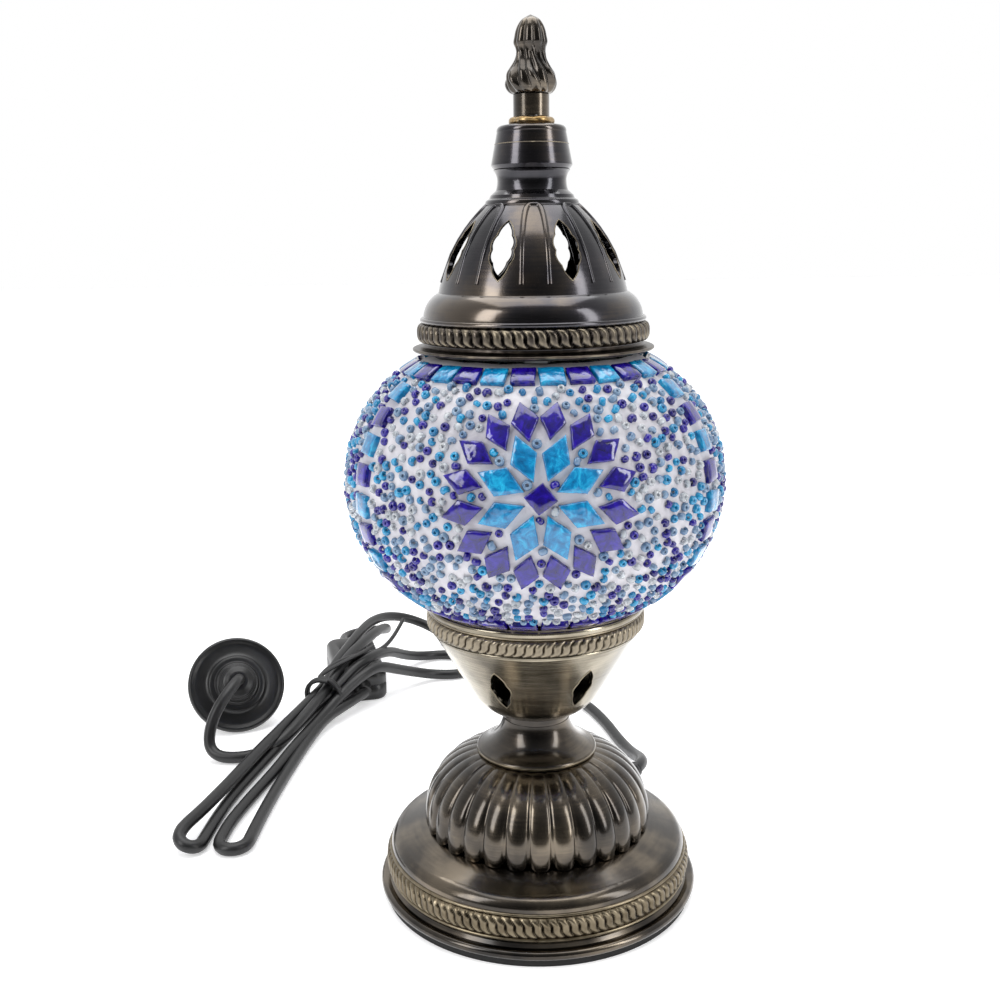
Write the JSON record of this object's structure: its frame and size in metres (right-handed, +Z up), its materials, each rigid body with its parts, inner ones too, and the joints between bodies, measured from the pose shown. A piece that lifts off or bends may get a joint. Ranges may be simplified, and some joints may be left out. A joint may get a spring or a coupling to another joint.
{
  "type": "table_lamp",
  "caption": "Table lamp with a squat glass globe mosaicked in cobalt and turquoise, a pierced dark metal cap and foot, and an inline-switched cord",
  "frame": {"origin": "centre of the foot's underside, on the table", "axes": "+Z up along the lamp's stem, -Y to the lamp's front, +X to its right"},
  "size_m": [0.2281, 0.3359, 0.2992],
  "materials": {
    "dark_bronze": "antique dark bronze lacquer over spun sheet",
    "champagne_metal": "pale champagne-grey antique lacquer over spun sheet",
    "brass_trim": "aged brass",
    "zinc_steel": "zinc plated",
    "nickel_cap": "nickel plated",
    "black_plastic": "moulded black plastic",
    "cord_black": "black PVC sheath",
    "black_rubber": "soft black pad",
    "bulb_glass": "frosted",
    "clear_glass": "clear blown globe",
    "white_grout": "white cement grout with seed beads pressed in",
    "cobalt_glass": "hammered cobalt glass",
    "turquoise_glass": "hammered turquoise glass"
  },
  "bodies": {
    "root": {"base_pad": "black_rubber", "bottom_plate": "dark_bronze", "base_foot": "dark_bronze", "foot_rope_band": "dark_bronze", "cable_bush": "black_plastic", "fluted_dome": "dark_bronze", "neck_cone": "dark_bronze", "neck_collar": "dark_bronze", "threaded_pipe": "zinc_steel", "base_washer": "zinc_steel", "base_nut": "zinc_steel", "bowl": "champagne_metal", "bowl_rope_band": "champagne_metal", "bowl_washer": "zinc_steel", "bowl_nut": "zinc_steel", "holder_cap": "black_plastic", "holder_sleeve": "black_plastic", "holder_screw_shell": "brass_trim", "holder_contact": "brass_trim", "bulb_cap": "nickel_cap", "bulb_envelope": "bulb_glass", "inner_cord": "cord_black", "globe_gasket": "black_rubber", "switch_base": "black_plastic", "switch_cover": "black_plastic", "switch_glands": "black_plastic", "switch_screws": "zinc_steel", "plug_body": "black_plastic", "plug_pins": "nickel_cap", "cord_lead": "cord_black", "cord_loop": "cord_black", "cord_switch_feed": "cord_black", "cord_switch_return": "cord_black", "cord_tail": "cord_black", "cord_hank": "cord_black", "cord_tie": "black_plastic"},
    "globe": {"globe_glass": "clear_glass", "grout_layer": "white_grout", "medallion_centres": "cobalt_glass", "medallion_inner_petals": "turquoise_glass", "medallion_outer_petals": "cobalt_glass", "column_tiles_dark": "cobalt_glass", "column_tiles_light": "turquoise_glass", "top_row_dark": "cobalt_glass", "top_row_light": "turquoise_glass", "bottom_row": "cobalt_glass"},
    "cap": {"cap_rim_ring": "dark_bronze", "cap_dome": "dark_bronze", "cap_rope_band": "dark_bronze", "cap_cup": "dark_bronze", "stem_collar": "brass_trim", "stem_tube": "dark_bronze", "finial": "dark_bronze", "cap_rod": "zinc_steel", "cap_washer": "zinc_steel", "cap_nut": "zinc_steel", "cap_spring_legs": "zinc_steel", "spring_rivets": "zinc_steel"},
    "rocker": {"switch_rocker": "black_plastic"}
  },
  "joints": [
    {"name": "globe_lift", "type": "slide", "parent": "root", "child": "globe", "axis": [0, 0, 1], "range_m": [0, 0.09]},
    {"name": "cap_lift", "type": "slide", "parent": "globe", "child": "cap", "axis": [0, 0, 1], "range_m": [0, 0.045]},
    {"name": "switch_rocker", "type": "hinge", "parent": "root", "child": "rocker", "pos_m": [-0.09, 0.199, 0.0126], "axis": [0.9703, 0.2419, 0], "range_deg": [0, 14]}
  ]
}
